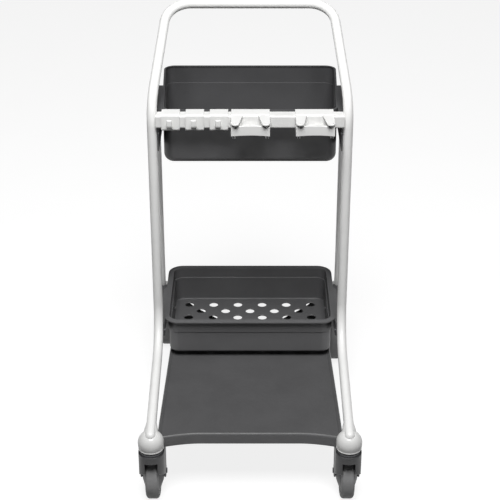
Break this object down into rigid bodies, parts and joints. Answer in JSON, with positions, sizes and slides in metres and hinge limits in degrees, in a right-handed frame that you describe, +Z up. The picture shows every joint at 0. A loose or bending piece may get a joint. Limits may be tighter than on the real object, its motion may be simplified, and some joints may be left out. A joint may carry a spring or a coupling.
{
  "type": "housekeeping cart",
  "caption": "Narrow rolling cart with a bent-tube frame and push handle, lift-out trays, a base shelf, a rail with hooks and handle grips, and swivel casters.",
  "frame": {"origin": "on the floor at the centre of the overall box", "axes": "front of the cart faces -Y, +X to the right seen from the front, +Z up"},
  "size_m": [0.506, 0.799, 0.9869],
  "materials": {
    "frame_paint": "satin",
    "charcoal_plastic": "satin",
    "tray_plastic": "satin",
    "white_plastic": "satin",
    "fork_plastic": "matte",
    "grip_rubber": "matte",
    "tread_rubber": "matte",
    "plated_steel": "satin"
  },
  "bodies": {
    "frame": {"front_frame": "frame_paint", "rear_frame_left": "frame_paint", "rear_frame_right": "frame_paint", "upper_bracket_left": "charcoal_plastic", "upper_bracket_right": "charcoal_plastic", "lower_bracket_left": "charcoal_plastic", "lower_bracket_right": "charcoal_plastic", "tool_rail": "white_plastic", "rail_end_caps": "white_plastic", "frame_screws": "plated_steel", "hook_left": "white_plastic", "hook_middle": "white_plastic", "hook_right": "white_plastic", "grip_holder_left": "white_plastic", "grip_holder_right": "white_plastic", "grip_jaws_left": "grip_rubber", "grip_jaws_right": "grip_rubber", "base_shelf": "tray_plastic", "dome_front_left": "white_plastic", "kingpin_front_left": "plated_steel", "dome_front_right": "white_plastic", "kingpin_front_right": "plated_steel", "dome_rear_left": "white_plastic", "kingpin_rear_left": "plated_steel", "dome_rear_right": "white_plastic", "kingpin_rear_right": "plated_steel"},
    "upper_tray": {"upper_tray": "tray_plastic"},
    "lower_tray": {"lower_tray": "tray_plastic"},
    "swivel_front_left": {"fork_front_left": "fork_plastic", "axle_front_left": "plated_steel"},
    "wheel_front_left": {"wheel_front_left": "fork_plastic", "tread_front_left": "tread_rubber", "guards_front_left": "fork_plastic"},
    "swivel_front_right": {"fork_front_right": "fork_plastic", "axle_front_right": "plated_steel"},
    "wheel_front_right": {"wheel_front_right": "fork_plastic", "tread_front_right": "tread_rubber", "guards_front_right": "fork_plastic"},
    "swivel_rear_left": {"fork_rear_left": "fork_plastic", "axle_rear_left": "plated_steel"},
    "wheel_rear_left": {"wheel_rear_left": "fork_plastic", "tread_rear_left": "tread_rubber", "guards_rear_left": "fork_plastic"},
    "swivel_rear_right": {"fork_rear_right": "fork_plastic", "axle_rear_right": "plated_steel"},
    "wheel_rear_right": {"wheel_rear_right": "fork_plastic", "tread_rear_right": "tread_rubber", "guards_rear_right": "fork_plastic"}
  },
  "joints": [
    {"name": "upper_tray_slide", "type": "slide", "parent": "frame", "child": "upper_tray", "axis": [0, 1, 0], "range_m": [0, 0.2]},
    {"name": "lower_tray_lift", "type": "slide", "parent": "frame", "child": "lower_tray", "axis": [0, 0, 1], "range_m": [0, 0.15]},
    {"name": "swivel_front_left_turn", "type": "hinge", "parent": "frame", "child": "swivel_front_left", "pos_m": [-0.216, -0.37125, 0.13], "axis": [0, 0, 1], "continuous": true},
    {"name": "wheel_front_left_roll", "type": "hinge", "parent": "swivel_front_left", "child": "wheel_front_left", "pos_m": [-0.216, -0.33325, 0.0625], "axis": [1, 0, 0], "continuous": true},
    {"name": "swivel_front_right_turn", "type": "hinge", "parent": "frame", "child": "swivel_front_right", "pos_m": [0.216, -0.37125, 0.13], "axis": [0, 0, 1], "continuous": true},
    {"name": "wheel_front_right_roll", "type": "hinge", "parent": "swivel_front_right", "child": "wheel_front_right", "pos_m": [0.216, -0.33325, 0.0625], "axis": [1, 0, 0], "continuous": true},
    {"name": "swivel_rear_left_turn", "type": "hinge", "parent": "frame", "child": "swivel_rear_left", "pos_m": [-0.222, 0.29875, 0.13], "axis": [0, 0, 1], "continuous": true},
    {"name": "wheel_rear_left_roll", "type": "hinge", "parent": "swivel_rear_left", "child": "wheel_rear_left", "pos_m": [-0.222, 0.33675, 0.0625], "axis": [1, 0, 0], "continuous": true},
    {"name": "swivel_rear_right_turn", "type": "hinge", "parent": "frame", "child": "swivel_rear_right", "pos_m": [0.222, 0.29875, 0.13], "axis": [0, 0, 1], "continuous": true},
    {"name": "wheel_rear_right_roll", "type": "hinge", "parent": "swivel_rear_right", "child": "wheel_rear_right", "pos_m": [0.222, 0.26075, 0.0625], "axis": [1, 0, 0], "continuous": true}
  ]
}
